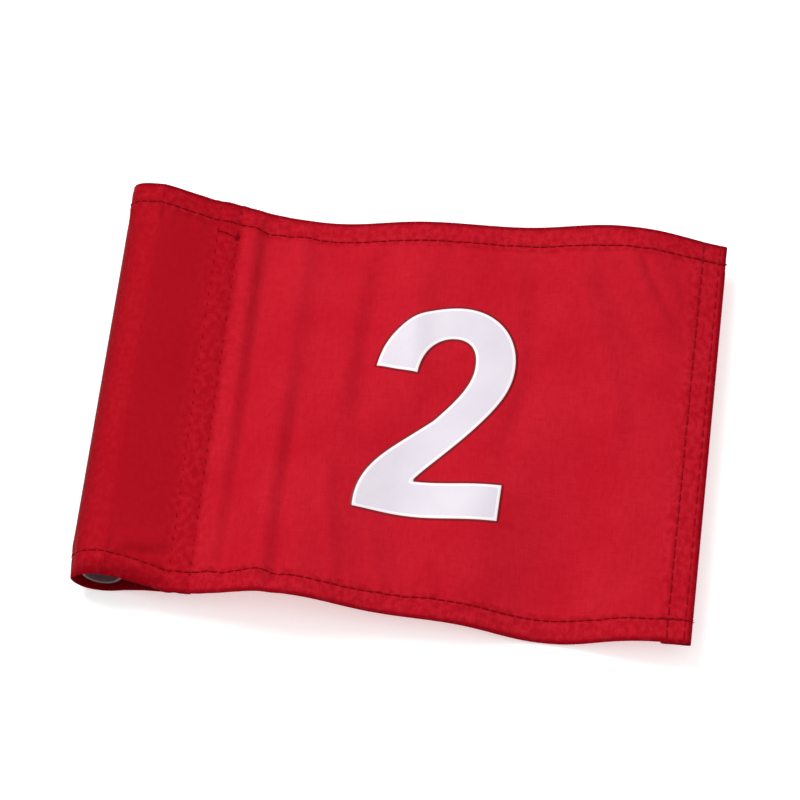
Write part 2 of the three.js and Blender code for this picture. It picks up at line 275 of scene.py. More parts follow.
def ridge(x, y, points, width, height, fade=0.25):
    """A rounded ridge along a polyline, dying out at both ends."""
    best, share = to_line(x, y, points)
    ends = smooth(0, fade, share) * smooth(1, 1 - fade, share)
    return height * np.exp(-((best / width) ** 2)) * ends


RIDGE_GAIN = 1.3
LIP_CRUMPLE = 0.2
RIDGES = [
    # points, half-width, height (negative for a crease)
    ([(44.6, -20), (44.4, 76), (43.2, 180)], 2.7, 1.25),
    ([(49.8, -20), (49.4, 76), (48.2, 180)], 2.6, -0.95),
    ([(62.5, -30), (61.0, 60), (60.0, 110), (60.5, 180)], 4.6, 1.7),
    ([(67.5, -20), (66.0, 40), (66.0, 96)], 2.8, -1.2),
    ([(79, 62), (80.5, 100), (81.5, 150)], 3.2, 0.9),
    ([(94, 150), (88, 134), (86.5, 104), (88, 60)], 3.6, -1.1),
    ([(78, 64), (79.5, 42), (86, 8)], 2.6, 0.75),
    ([(104, 144), (101, 120), (104, 84), (99, 66)], 5.0, 0.9),
    ([(141.5, 156), (140.5, 134), (143, 96), (134, 50)], 4.0, -1.0),
    ([(149.5, 146), (155.5, 128), (164.5, 106), (171, 84), (173, 60)], 4.4, 1.7),
    ([(159, 147), (164.5, 131), (177, 109), (184, 96)], 4.0, -1.3),
    ([(169, 150), (175, 133), (182, 120), (190, 108)], 3.4, 1.2),
    ([(174.5, 150), (179, 140), (184, 132), (191, 123)], 2.2, 0.7),
    ([(172, 149), (177, 138), (186, 122)], 2.2, -0.7),
    ([(112, -2), (108, 16), (103, 32)], 2.6, -0.5),
    ([(101, 2), (98, 20), (95, 36)], 2.4, 0.45),
    ([(120, -1), (117, 14), (110, 28)], 2.2, 0.4),
    ([(184, 30), (176, 16), (172, 4)], 2.6, -0.45),
    ([(70, 2), (69, 14), (71, 28)], 2.0, -0.4),
    ([(128, 152), (127, 140), (124, 128)], 2.2, -0.4),
    ([(110, 152), (111, 142), (109, 132)], 2.0, -0.35),
]


def ripple(along, length, phase=0.0):
    """A sine wave of the given length."""
    return np.sin(along * 2 * math.pi / length + phase)


def band(off, width):
    """1 on a line and fading away on both sides of it."""
    return np.exp(-((off / width) ** 2))


def wrinkles(s, y):
    """How far the cloth stands out of the smooth surface, in its outward direction."""
    inside = smooth(0, 6, y) * smooth(FLAG_HEIGHT, FLAG_HEIGHT - 6, y)
    d = np.zeros(np.shape(s))
    for points, width, height in RIDGES:
        d += ridge(s, y, points, width, height)
    d *= RIDGE_GAIN * (0.35 + 0.65 * inside)
    d *= smooth(39, 42, s)
    # A crease across the sleeve's right side, just above its mouth, and a few pulls along the sleeve.
    d += ridge(s, y, [(14, 8.5), (23, 10.4), (31.5, 14.2)], 1.8, -1.15)
    d += ridge(s, y, [(16, 13.5), (24, 15.6), (31, 20)], 2.4, 0.7)
    d += ridge(s, y, [(28.0, 20), (27.4, 80), (26.4, 136)], 2.2, -0.2)
    d += ridge(s, y, [(-22, 10), (-18, 60), (-24, 140)], 5, -0.4)
    # The lip of the mouth is crumpled.
    crumple = ripple(s, 4.3, y * 0.9) + ripple(s, 2.9, 1.0 - y * 1.3)
    d += LIP_CRUMPLE * crumple * (1 - smooth(2, 7, y)) * smooth(-8, 4, s) * (1 - smooth(24, 32, s))
    d += ridge(s, y, [(2, 3.0), (14, 3.4), (29, 2.2)], 0.9, -0.4)
    return d + needle_pull(s, y)


def hem_rows(s):
    """y of the bottom and the top stitch row, which wander a little."""
    drift = 0.35 * np.sin(s / 23.0 + 0.6) + 0.25 * np.sin(s / 9.7 + 2.0)
    rise = 0.3 * np.sin(s / 17.0 + 4.0) + 0.25 * np.sin(s / 41.0)
    return HEM + drift + 0.9 * smooth(185, 203, s), FLAG_HEIGHT - HEM - rise


def seam_rows_s():
    """Path positions of the inner and outer seam row on the upper ply."""
    return SEAM_S + SEAM_LEAD, SEAM_S + SEAM_LEAD + SEAM_WIDTH


def needle_pull(s, y):
    """The groove that each row of stitching pulls into the cloth, and the small puckers along it."""
    bottom, top = hem_rows(s)
    d = np.zeros(np.shape(s))
    for row, side, phase in ((bottom, 1, 0.3), (top, -1, 1.1)):
        off = (y - row) * side
        pucker = ripple(s, 8.3, phase) + 0.7 * ripple(s, 5.3, 2.2 * phase)
        fine = ripple(s, 3.7, 3.0 * phase + 0.5 * np.sin(s / 6.1)) * (0.6 + 0.4 * np.sin(s / 11.0 + phase))
        d += -0.2 * band(off, 0.55) * (0.8 + 0.2 * pucker)
        d += (0.16 * pucker + 0.07 * fine) * band(off + 3.4, 2.6)
        d += 0.15 * pucker * band(off - 3.4, 3.2) * (1 + 0.5 * np.sin(s / 13.0 + phase))
        d += 0.05 * fine * band(off - 1.6, 1.2)
    inner, outer = seam_rows_s()
    for row in (inner, outer):
        d += -0.22 * band(s - row, 0.6) * (0.6 + 0.4 * ripple(y, SEAM_STITCH, math.pi / 2))
    # The strip between the seam rows is crumpled, and a little of that reaches past them.
    puff = 0.16 + 0.1 * ripple(y, SEAM_STITCH, 0.9) + 0.08 * ripple(y, 11.0)
    puff = puff + 0.17 * ripple(y, 3.3, s * 1.3) + 0.12 * ripple(y, 2.5, 1.0 - s * 0.9)
    puff = puff + 0.15 * ripple(y, 4.7, s * 1.7 + 0.4)
    d += puff * band(s - (inner + outer) / 2, 2.6)
    near = 0.17 * ripple(y, 5.7, s * 0.9) + 0.12 * ripple(y, 3.4, -s * 0.7)
    d += near * (band(s - inner + 1.8, 1.6) + 0.7 * band(s - outer - 1.8, 1.5))
    for row, depth in ((FLAG_LENGTH - FLY_HEM, 0.16), (FLAG_LENGTH - FLY_ROW, 0.1)):
        d += -depth * band(s - row, 0.5) * (0.8 + 0.2 * ripple(y, FLY_STITCH, math.pi / 2))
        d += 0.05 * ripple(y, 9.1, row) * band(s - row + 2.5, 2.2)
    return d


# ---- Cloth simulation ----
SIM_STEP = 2.0
SIM_FRAMES = 24
SIM_CAP = 1.1
SIM_SCALE = 10  # the cloth is simulated this many times larger
SIM_CLOTH = {
    "quality": 6, "mass": 0.05, "tension_stiffness": 18, "compression_stiffness": 18,
    "shear_stiffness": 8, "bending_stiffness": 0.4, "vertex_group_mass": "pin", "pin_stiffness": 1.4,
    "vertex_group_shrink": "gather", "shrink_min": -0.012, "shrink_max": 0.03,
}


def mesh_object(name, points, faces):
    mesh = bpy.data.meshes.new(name)
    mesh.from_pydata([tuple(p) for p in points], [], [tuple(f) for f in faces])
    mesh.update()
    made = bpy.data.objects.new(name, mesh)
    bpy.context.scene.collection.objects.link(made)
    return made


def grid_faces(rows, columns):
    i, j = np.meshgrid(np.arange(rows - 1), np.arange(columns - 1), indexing="ij")
    a = (i * columns + j).ravel()
    return np.stack([a, a + columns, a + columns + 1, a + 1], -1)


def simulate():
    """Lets the stitched rows of the panel shrink, as sewing thread does, so that the cloth puckers."""
    xs = np.arange(40.0, FLAG_LENGTH + 0.1, SIM_STEP)
    ys = np.linspace(0, FLAG_HEIGHT, int(FLAG_HEIGHT / SIM_STEP) + 1)
    s, y = np.meshgrid(xs, ys, indexing="ij")
    rest = surface(s, y) + outward(s, y) * wrinkles(s, y)[..., None]
    start = rest.reshape(-1, 3) * MM * SIM_SCALE
    sheet = mesh_object("cloth_simulation", start, grid_faces(len(xs), len(ys)))
    near_edge = np.minimum(np.minimum(y, FLAG_HEIGHT - y), FLAG_LENGTH - s)
    hem = 1 - smooth(7.0, 11.0, near_edge)
    pin = np.where(s < 41, 1.0, 0.14 + 0.3 * hem)
    # The gather of each hem comes and goes along it.
    gather = hem * (0.65 + 0.35 * np.sin(s * 0.37 + y * 0.11))
    for name, values in (("pin", pin), ("gather", gather)):
        group = sheet.vertex_groups.new(name=name)
        for index, value in enumerate(values.ravel()):
            group.add([index], float(value), "REPLACE")
    cloth = sheet.modifiers.new("cloth", "CLOTH")
    for setting, value in SIM_CLOTH.items():
        setattr(cloth.settings, setting, value)
    cloth.settings.effector_weights.gravity = 0
    cloth.collision_settings.use_collision = False
    scene = bpy.context.scene
    for number in range(1, SIM_FRAMES + 1):
        scene.frame_set(number)
    evaluated = sheet.evaluated_get(bpy.context.evaluated_depsgraph_get())
    moved = np.empty(len(evaluated.data.vertices) * 3)
    evaluated.data.vertices.foreach_get("co", moved)
    scene.frame_set(1)
    data = sheet.data
    bpy.data.objects.remove(sheet)
    bpy.data.meshes.remove(data)
    shift = moved.reshape(rest.shape) / (MM * SIM_SCALE) - rest
    out = (shift * outward(s, y)).sum(-1)
    out = SIM_CAP * np.tanh(out / SIM_CAP) * smooth(40, 48, s)
    calm = blurred(out, 14) * 0.55
    return xs, ys, lerp(calm, blurred(out, 2) * 0.9, 1 - smooth(9, 22, near_edge))


def blurred(grid, passes):
    for _ in range(passes):
        for axis in (0, 1):
            size = grid.shape[axis]
            before = np.take(grid, np.maximum(np.arange(size) - 1, 0), axis)
            after = np.take(grid, np.minimum(np.arange(size) + 1, size - 1), axis)
            grid = (before + 2 * grid + after) / 4
    return grid


def cubic(values, where):
    """Weights and indices for a Catmull-Rom sample of a regular axis."""
    step = values[1] - values[0]
    u = np.clip((where - values[0]) / step, 0, len(values) - 1.001)
    i = np.floor(u).astype(int)
    t = u - i
    w = [
        -0.5 * t + t * t - 0.5 * t**3,
        1 - 2.5 * t * t + 1.5 * t**3,
        0.5 * t + 2 * t * t - 1.5 * t**3,
        -0.5 * t * t + 0.5 * t**3,
    ]
    return [(np.clip(i + k - 1, 0, len(values) - 1), w[k]) for k in range(4)]


PUCKERS = simulate()


def upper_relief(s, y):
    """Wrinkles with the simulated puckers added."""
    d = wrinkles(s, y)
    if PUCKERS is not None:
        xs, ys, out = PUCKERS
        extra = np.zeros(np.shape(s))
        for i, wi in cubic(xs, s):
            for j, wj in cubic(ys, y):
                extra += out[i, j] * wi * wj
        d = d + extra * (s > xs[0])
    return d


def relief(s, y):
    """The same for the whole strip, whose sewn-down end follows the ply above it."""
    s, y = np.broadcast_arrays(np.asarray(s, float), np.asarray(y, float))
    follows = 1 - smooth(UNDER_SEAM_S, UNDER_SEAM_S + 3, s)
    above = upper_relief(SEAM_S + UNDER_SEAM_S - np.minimum(s, UNDER_SEAM_S + 3), y)
    return lerp(upper_relief(s, y), -above, follows)


def on_cloth(s, y, out):
    """A point `out` above the outer ply's middle surface, and the direction outwards there."""
    normal = outward(s, y)
    return surface(s, y) + normal * (relief(s, y) + out)[..., None], normal


# ---- The strip of cloth ----
TURN_LENGTH = 0.3  # cloth that a quarter turn of the fly hem takes up


def running_total(steps):
    return np.concatenate([[0], np.cumsum(steps)])


def half_turn(steps):
    return np.linspace(0, math.pi, steps + 2)[1:-1]


def hem_path():
    """The strip's section from its bottom raw edge to its top one: y and the depth under the outer ply."""
    inner = HEM_TURN - PITCH / 2
    low = [(v, -PITCH) for v in np.linspace(1.6, inner, 6)]
    low += [(inner + PITCH / 2 * math.sin(a), -PITCH * (1.5 - 0.5 * math.cos(a))) for a in half_turn(4)]
    row = [HEM + k for k in (1.2, 0.5, 0.0, -0.5, -1.2)]
    low += [(v, -2 * PITCH) for v in [inner, *row, 5.0, 3.6, 2.2, 1.0, PITCH]]
    low += [(PITCH * (1 - math.sin(a)), -PITCH * (1 + math.cos(a))) for a in half_turn(5)]
    rows = [HEM + k for k in (-1.6, -1.0, -0.6, -0.3, 0.0, 0.3, 0.6, 1.0, 1.6)]
    edge = [PITCH, 0.8, 1.6, 2.6, 3.8, 5.0, *rows, 10.2, 11.4]
    half = [(v, 0.0) for v in edge]
    inner_span = np.linspace(12.6, FLAG_HEIGHT - 12.6, 92)
    high = [(FLAG_HEIGHT - v, d) for v, d in reversed(low + half)]
    return np.array(low + half + [(v, 0.0) for v in inner_span] + high)


def strip_path():
    """The path along the strip from the fly's raw edge: s and the fly ply, 0 outer, 1 middle and 2 back."""
    inner = FLAG_LENGTH - FLY_TURN
    path = [(FLAG_LENGTH - v, 1.0, 0.0) for v in np.linspace(1.8, FLY_TURN, 6)]
    path += [(inner, 1.5 - 0.5 * math.cos(a), math.sin(a)) for a in half_turn(4)]
    back = [FLY_TURN, FLY_HEM + 0.5, FLY_HEM, FLY_HEM - 0.5, 6.2, 4.4]
    back += [FLY_ROW + 0.5, FLY_ROW, FLY_ROW - 0.5, 1.1]
    path += [(FLAG_LENGTH - v, 2.0, 0.0) for v in back]
    path += [(FLAG_LENGTH, 1 + math.cos(a), -math.sin(a)) for a in half_turn(5)]
    front = [0.9, 1.4, 1.9, 2.4, 2.9, 3.5, 4.8, 6.2, 7.0, 7.5, 7.8, 8.1, 8.4, 8.9, 9.8]
    inner_row, outer_row = seam_rows_s()
    fine = np.array([1.4, 0.9, 0.45, 0.0, -0.45, -0.9, -1.4])
    front = [FLAG_LENGTH - v for v in front]
    front += [*np.linspace(192.0, 42.6, 108), 41.4, 40.6, *(outer_row + fine)]
    front += [*np.linspace(outer_row - 2.3, inner_row + 2.3, 3), *(inner_row + fine)]
    front += [*np.linspace(SEAM_S - 1.0, UNDER_SEAM_S + 0.6, 66)]
    front += [*np.linspace(UNDER_SEAM_S - 0.4, END_S, 13)]
    return np.array(path + [(v, 0.0, 0.0) for v in front])


def shell(name, middle, thickness):
    """A closed skin round a grid of points: first all its upper vertices, then all its lower ones."""
    rows, columns = middle.shape[:2]
    along, across = np.gradient(middle, axis=0), np.gradient(middle, axis=1)
    normal = unit(np.cross(across, along))
    faced = (middle + normal * thickness / 2, middle - normal * thickness / 2)
    points = np.concatenate([side.reshape(-1, 3) for side in faced])
    count = rows * columns
    upper = grid_faces(rows, columns)
    faces = [upper[:, ::-1], upper + count]
    index = np.arange(count).reshape(rows, columns)
    for line, flip in ((index[0], True), (index[-1], False), (index[:, 0], False), (index[:, -1], True)):
        quad = np.stack([line[:-1], line[1:], line[1:] + count, line[:-1] + count], -1)
        faces.append(quad[:, ::-1] if flip else quad)
    return mesh_object(name, place(points), np.concatenate(faces))


def smooth_shade(piece):
    piece.data.polygons.foreach_set("use_smooth", [True] * len(piece.data.polygons))
    piece.data.update()


def add_uv(piece, per_vertex, name="thread_count"):
    """A UV layer from a pair of numbers for each vertex. The cloth's are flat millimetres / 100."""
    layer = piece.data.uv_layers.new(name=name)
    loops = np.empty(len(piece.data.loops), int)
    piece.data.loops.foreach_get("vertex_index", loops)
    layer.data.foreach_set("uv", per_vertex[loops].astype(np.float32).ravel())


def add_attribute(piece, name, values):
    attribute = piece.data.attributes.new(name, "FLOAT", "POINT")
    attribute.data.foreach_set("value", np.asarray(values, np.float32).ravel())


def add_cloth_attribute(piece, name, values, shape):
    """One value for each grid point, given to both faces of the cloth."""
    flat = np.broadcast_to(values, shape).ravel()
    add_attribute(piece, name, np.concatenate([flat, flat]))


def flag_cloth():
    """The cloth, and its flat length and width."""
    hems, strip = hem_path(), strip_path()
    s, level, turn = (strip[:, k][:, None] for k in range(3))
    y, under = hems[:, 0][None, :], hems[:, 1][None, :]
    share = edge_share(y)
    stack = PITCH * (1 + 2 * share)
    middle_ply = -stack + under
    back_ply = -2 * stack - 2 * PITCH * share - under
    depth = np.where(level <= 1, lerp(under, middle_ply, level), lerp(middle_ply, back_ply, level - 1))
    # The outer turn of the fly hem goes straight from the back ply to the front one.
    outer_turn = turn < 0
    depth = np.where(outer_turn, lerp(under, back_ply, level / 2), depth)
    radius = np.where(outer_turn, (under - back_ply) / 2, (middle_ply - back_ply) / 2)
    s_full = np.where(outer_turn, s - stack - stack * turn, s - turn * np.abs(radius))
    s_full, y_full = np.broadcast_arrays(s_full, y)
    s_full = np.minimum(s_full, FLAG_LENGTH)
    depth = np.broadcast_to(depth, s_full.shape)
    middle, _ = on_cloth(s_full, y_full, depth)
    cloth = shell("flag_cloth", middle, PLY)
    flat_s = running_total(np.abs(np.diff(strip[:, 0])) + np.abs(np.diff(strip[:, 2])) * TURN_LENGTH)
    flat_y = running_total(np.hypot(np.diff(hems[:, 0]), np.diff(hems[:, 1])))
    uv = np.stack(np.broadcast_arrays(flat_s[:, None], flat_y[None, :]), -1).reshape(-1, 2) / 100
    add_uv(cloth, np.concatenate([uv, uv]))
    # Painted shade: the hems, the fly hem and, more strongly, the whole sleeve are coloured darker,
    # standing in for the light that comes through a single ply from beneath.
    doubled = np.maximum(share, 1 - smooth(FLY_TURN, FLY_TURN + 0.5, FLAG_LENGTH - s))
    doubled = np.maximum(0.45 * doubled, 1.3 * (1 - smooth(38.5, 40.5, s)))
    add_cloth_attribute(cloth, "doubled", doubled, s_full.shape)
    # Painted shade: darker red along the folded edges, the sleeve's closed edge and its lip, and on the
    # cloth's faces inside the sleeve.
    fold_and_inside_shade = 1 - smooth(0.5, 2.1, np.minimum(np.minimum(y, FLAG_HEIGHT - y), FLAG_LENGTH - s))
    closed = band(s - EDGE_S - 2.5, 5.4)
    lip = 0.8 * (1 - smooth(0.5, 6.5, y)) * (1 - smooth(26, 37, s))
    inside = (under < -PITCH / 2) & (s < SEAM_S) & (s > UNDER_SEAM_S)
    fold_and_inside_shade = np.maximum(np.maximum(fold_and_inside_shade, np.maximum(closed, lip)), 1.18 * inside)
    add_cloth_attribute(cloth, "fold_and_inside_shade", fold_and_inside_shade, s_full.shape)
    seam_strip = band(s - SEAM_S - SEAM_LEAD - SEAM_WIDTH / 2, 5.5)
    gather = np.maximum(np.maximum(share, 1 - smooth(FLY_TURN, FLY_TURN + 4, FLAG_LENGTH - s)), seam_strip)
    gather = np.maximum(gather, 0.5 * (1 - smooth(4, 16, s)))
    add_cloth_attribute(cloth, "gather", gather, s_full.shape)
    smooth_shade(cloth)
    return cloth, float(flat_s[-1]), float(flat_y[-1])


# ---- Stitching ----
RING = 6  # vertices round a thread


def ring_faces(rings, base=0):
    """Faces of a capped tube whose rings of vertices follow one another from `base`."""
    faces = []
    for m in range(rings - 1):
        for r in range(RING):
            a, b = base + m * RING + r, base + m * RING + (r + 1) % RING
            faces.append((a, a + RING, b + RING, b))
    last = base + (rings - 1) * RING
    return [*faces, tuple(base + r for r in range(RING)), tuple(last + r for r in reversed(range(RING)))]


def thread_piece(name, points, faces, uvs):
    made = mesh_object(name, place(points), faces)
    add_uv(made, uvs, "twist")
    smooth_shade(made)
    return made


def stitches(name, s, y, out, pitch, gap=0.16, radius=THREAD_RADIUS, seed=1, slant=0.0, side=1, uneven=0.0):
    """Thread between the needle holes of a row along the points s, y. `out` is the cloth's face there."""
    rng = np.random.default_rng(seed)
    middle = surface(s, y)
    length = running_total(np.linalg.norm(np.diff(middle, axis=0), axis=1))
    count = max(1, int(length[-1] / pitch))
    holes = np.linspace(0, length[-1], count + 1)
    holes[1:-1] += rng.uniform(-0.05, 0.05, count - 1) * pitch
    shares = np.array([0.0, 0.1, 0.28, 0.5, 0.72, 0.9, 1.0])
    lifts = np.array([-1.0, 0.1, 0.8, 1.0, 0.8, 0.1, -1.0])
    widths = np.array([0.55, 0.85, 1.0, 1.0, 1.0, 0.85, 0.55])
    points, faces, uvs = [], [], []
    for k in range(count):
        start, end = holes[k], holes[k + 1]
        start, end = start + (end - start) * gap / 2, end - (end - start) * gap / 2
        at = start + (end - start) * shares
        ps, py = np.interp(at, length, s), np.interp(at, length, y)
        lean = slant * (shares - 0.5) + rng.uniform(-0.04, 0.04)
        ds, dy = np.gradient(ps), np.gradient(py)
        norm = np.hypot(ds, dy)
        ps, py = ps - dy / norm * lean, py + ds / norm * lean
        level = (out(ps, py) if callable(out) else out) - side * uneven * rng.uniform(0, 1) * radius
        centre, normal = on_cloth(ps, py, side * lifts * radius + level + side * 0.02)
        tangent = unit(np.gradient(centre, axis=0))
        across = unit(np.cross(tangent, normal))
        above = np.cross(across, tangent)
        for m in range(len(shares)):
            for r in range(RING):
                a = 2 * math.pi * r / RING
                offset = across[m] * math.cos(a) * 1.12 + above[m] * math.sin(a)
                points.append(centre[m] + offset * radius * widths[m])
                uvs.append((at[m], r / RING))
        faces += ring_faces(len(shares), k * len(shares) * RING)
    return thread_piece(name, points, faces, np.array(uvs))


TOP_FACE = PLY / 2
ROW_POINTS = 400
BACK_SEED = 10  # the seed of a row's back is this much higher


def hem_back(s, y):
    """The back face of the cloth under a hem row."""
    fly = 1 - smooth(FLY_TURN - 0.2, FLY_TURN + 0.2, FLAG_LENGTH - s)
    return -2 * PITCH - PLY / 2 - fly * 6 * PITCH


def fly_back(s, y):
    """The back face of the cloth under a fly row."""
    share = edge_share(y)
    return -2 * PITCH * (1 + 3 * share) - PLY / 2


def sew():
    """Every row of stitches, by name."""
    rows = []
    along = np.linspace(FLAG_LENGTH - 0.5, END_S + 0.4, ROW_POINTS * 2)
    panel_only = np.linspace(FLAG_LENGTH - 0.8, SEAM_S + SEAM_WIDTH + 3.2, ROW_POINTS)
    for which, name in enumerate(("bottom_hem_stitches", "top_hem_stitches")):
        row, back_row = hem_rows(along)[which], hem_rows(panel_only)[which]
        seed = 3 + which
        rows.append(stitches(name, along, row, TOP_FACE, HEM_STITCH, seed=seed, gap=0.02))
        behind = {"seed": seed + BACK_SEED, "side": -1}
        rows.append(stitches(f"{name}_back", panel_only, back_row, hem_back, HEM_STITCH, **behind))
    inner, outer = seam_rows_s()
    up = np.linspace(0.7, FLAG_HEIGHT - 0.7, ROW_POINTS)
    one = np.ones(ROW_POINTS)
    for name, row, seed in (("seam_stitches_inner", inner, 5), ("seam_stitches_outer", outer, 6)):
        loose = {"gap": 0.56, "slant": 0.4, "radius": 0.19, "uneven": 1.3}
        rows.append(stitches(name, row * one, up, TOP_FACE, SEAM_STITCH, seed=seed, **loose))
        below = (UNDER_SEAM_S + SEAM_S - row) * one
        behind = {"seed": seed + BACK_SEED, "slant": 0.2}
        rows.append(stitches(f"{name}_back", below, up, TOP_FACE, SEAM_STITCH, **behind))
    tack = np.linspace(inner, outer, 60)
    tight = {"seed": 7, "gap": 0.1, "radius": 0.24}
    rows.append(stitches("seam_tack_stitches", tack, tack_y(tack), TOP_FACE, TACK_STITCH, **tight))
    for name, depth, seed, gap, thick in (
        ("fly_stitches_inner", FLY_HEM, 8, 0.06, 0.21),
        ("fly_stitches_outer", FLY_ROW, 9, 0.2, 0.17),
    ):
        line = (FLAG_LENGTH - depth) * one
        rows.append(stitches(name, line, up, TOP_FACE, FLY_STITCH, seed=seed, gap=gap, radius=thick))
        behind = {"seed": seed + BACK_SEED, "side": -1}
        rows.append(stitches(f"{name}_back", line, up, fly_back, FLY_STITCH, **behind))
    tail = np.linspace(FLAG_LENGTH - 0.3, FLAG_LENGTH - 11.5, 40)
    for which, name in enumerate(("backtack_bottom", "backtack_top")):
        path = hem_rows(tail)[which] + 0.3 * smooth(FLAG_LENGTH - 1, FLAG_LENGTH - 4, tail)
        doubled = {"seed": 21 + which, "gap": 0.04, "radius": 0.22}
        rows.append(stitches(name, tail, path, TOP_FACE, HEM_STITCH * 0.8, **doubled))
    return {row.name: row for row in rows}


def thread_tube(name, path, radius):
    """A thread along a path of points in the flag's coordinates."""
    tangent = unit(np.gradient(path, axis=0))
    side = np.array([0.31, 0.22, 0.92])
    across = unit(np.cross(tangent, side))
    above = np.cross(across, tangent)
    angles = np.arange(RING) * 2 * math.pi / RING
    ring = np.cos(angles)[None, :, None] * across[:, None] + np.sin(angles)[None, :, None] * above[:, None]
    points = (path[:, None] + ring * radius).reshape(-1, 3)
    along = running_total(np.linalg.norm(np.diff(path, axis=0), axis=1))
    uvs = np.stack([np.repeat(along, RING), np.tile(np.arange(RING) / RING, len(path))], -1)
    return thread_piece(name, points, ring_faces(len(path)), uvs)


def tack_y(s):
    """The short cross tack just under the top hem, from the inner seam row to the outer one."""
    return FLAG_HEIGHT - HEM - TACK_DROP - 0.2 * (s - seam_rows_s()[0])


def tack_knot():
    """The lump of thread where the tack ends on the outer seam row."""
    t = np.linspace(0, 2 * math.pi, 160)
    wound = 1 + 0.12 * np.sin(11 * t)
    lump = [0.62 * np.sin(5 * t) * wound, 1.15 * np.cos(4 * t) * wound, 0.14 * np.sin(9 * t)]
    row = seam_rows_s()[1]
    centre, _ = on_cloth(row - 0.2, float(tack_y(row)) + 0.2, TOP_FACE + 0.16)
    return thread_tube("seam_tack_knot", np.stack(lump, -1)[:-1] + centre, 0.15)


def thread_knot(name, row, turn):
    """The knot and trimmed tail where a hem row ends at the fly edge."""
    t = np.linspace(0, 2 * math.pi, 90)
    trefoil = [np.sin(t) + 2 * np.sin(2 * t), np.cos(t) - 2 * np.cos(2 * t), -np.sin(3 * t)]
    knot = np.stack(trefoil, -1) * 0.15
    tail_t = np.linspace(0, 1, 12)[1:, None]
    end = knot[-1] + np.array([0.85, 0.25 * turn, -0.35])
    bow = np.array([0.1, 0.5 * turn, 0.25]) * np.sin(tail_t * math.pi) * 0.5
    path = np.concatenate([knot, lerp(knot[-1], end, tail_t) + bow])
    centre, _ = on_cloth(FLAG_LENGTH - 0.35, row, TOP_FACE + 0.12)
    return thread_tube(name, path + centre, 0.13)


# ---- Numeral ----
NUMERAL_CENTRE_X = 113
FILM = 0.16
FILM_EDGE = 0.12  # this far in from its edge the film has its full thickness
FILM_SUNK = 0.03  # its underside reaches this far into the cloth
FILM_GRID = 1.5
RIM = 0.9
BORDER = 0.8  # painted shade: a dark red line runs round the numeral's edge
BORDER_FILM = 0.08
OUTLINE = [
    [(88.7, 38.3), (105, 38.9), (121, 36.9), (136.3, 38.4)],
    [(136.3, 38.4), (136.6, 51.5)],
    [(136.6, 51.5), (127, 50.7), (117, 51.0), (106.7, 51.3)],
    [(106.7, 51.3), (111.2, 57.7), (119.6, 63.9), (127.2, 74.6)],
    [(127.2, 74.6), (133.6, 83.5), (136.5, 90.2), (136.5, 97.8)],
    [(136.5, 97.8), (136.5, 109.8), (128.4, 118.8), (116.5, 118.3)],
    [(116.5, 118.3), (104.8, 117.6), (92.6, 110.6), (90.5, 93.7)],
    [(90.5, 93.7), (104.3, 91.5)],
    [(104.3, 91.5), (105.1, 100.6), (109.6, 106.2), (116.0, 106.2)],
    [(116.0, 106.2), (120.6, 106.2), (123.4, 103.0), (123.4, 97.2)],
    [(123.4, 97.2), (123.6, 91.0), (120.8, 84.6), (111.8, 74.2)],
    [(111.8, 74.2), (100.6, 64.2), (87.9, 55.9), (88.7, 38.3)],
]


def outline_points(step=0.8):
    """The numeral's outline as a loop of points, from straight parts and Bezier curves."""
    points = []
    for part in OUTLINE:
        p = [np.array(q, float) for q in part]
        length = np.linalg.norm(p[-1] - p[0])
        count = max(2, int(length / step))
        t = np.linspace(0, 1, count, endpoint=False)[:, None]
        points.append(lerp(p[0], p[1], t) if len(p) == 2 else bezier(p, t))
    return np.concatenate(points)


def inside_outline(p, loop):
    a, b = loop, np.roll(loop, -1, axis=0)
    x, y = p[:, 0][:, None], p[:, 1][:, None]
    crosses = (a[:, 1] > y) != (b[:, 1] > y)
    with np.errstate(divide="ignore", invalid="ignore"):
        at = (b[:, 0] - a[:, 0]) * (y - a[:, 1]) / (b[:, 1] - a[:, 1]) + a[:, 0]
    return (crosses & (x < at)).sum(1) % 2 == 1


def outline_distance(p, loop):
    a, b = loop, np.roll(loop, -1, axis=0)
    d = b - a
    rel = p[:, None, :] - a[None]
    t = np.clip((rel * d).sum(-1) / (d * d).sum(-1), 0, 1)
    return np.linalg.norm(rel - t[..., None] * d, axis=-1).min(1)


